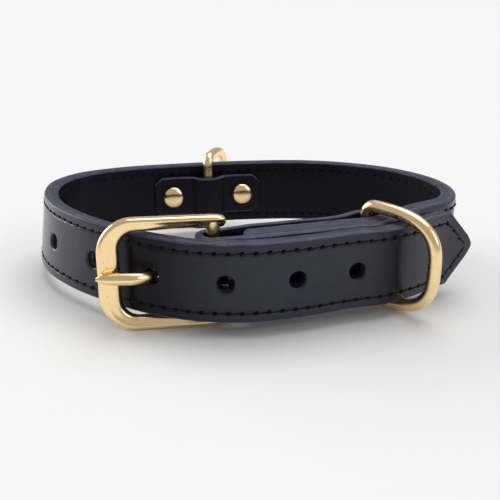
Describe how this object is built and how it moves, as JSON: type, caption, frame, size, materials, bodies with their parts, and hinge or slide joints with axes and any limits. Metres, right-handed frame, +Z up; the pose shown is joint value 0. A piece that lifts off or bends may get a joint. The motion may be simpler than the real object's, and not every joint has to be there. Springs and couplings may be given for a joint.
{
  "type": "dog collar",
  "caption": "Buckled dog collar: a two-ply leather strap in a closed loop, brass half buckle with prong, two swinging D-rings, and a riveted leather tab.",
  "frame": {"origin": "centre of the bottom of the collar's box, on the surface that it stands on", "axes": "+Z up, the neck's way through the loop; +X to the right along the collar's longest side, towards the pointed free end; +Y to the back, away from the buckle"},
  "size_m": [0.1532, 0.1212, 0.0352],
  "materials": {
    "outer_leather": "smooth glossy black grain, burnished edges",
    "lining_leather": "dull black lining side",
    "brass": "solid brass, satin polish"
  },
  "bodies": {
    "collar": {"strap_outer_ply": "outer_leather", "strap_lining_ply": "lining_leather", "buckle_frame": "brass", "buckle_prong": "brass", "rear_tab": "outer_leather", "rivet_left": "brass", "rivet_right": "brass"},
    "front_ring": {"front_d_ring": "brass"},
    "rear_ring": {"rear_d_ring": "brass"}
  },
  "joints": [
    {"name": "front_ring_swing", "type": "hinge", "parent": "collar", "child": "front_ring", "pos_m": [0.03993, -0.03147, 0.01759], "axis": [0, 0, 1], "range_deg": [-38, 0]},
    {"name": "rear_ring_swing", "type": "hinge", "parent": "collar", "child": "rear_ring", "pos_m": [-0.01518, 0.03305, 0.01759], "axis": [0, 0, 1], "range_deg": [-32, 80]}
  ]
}
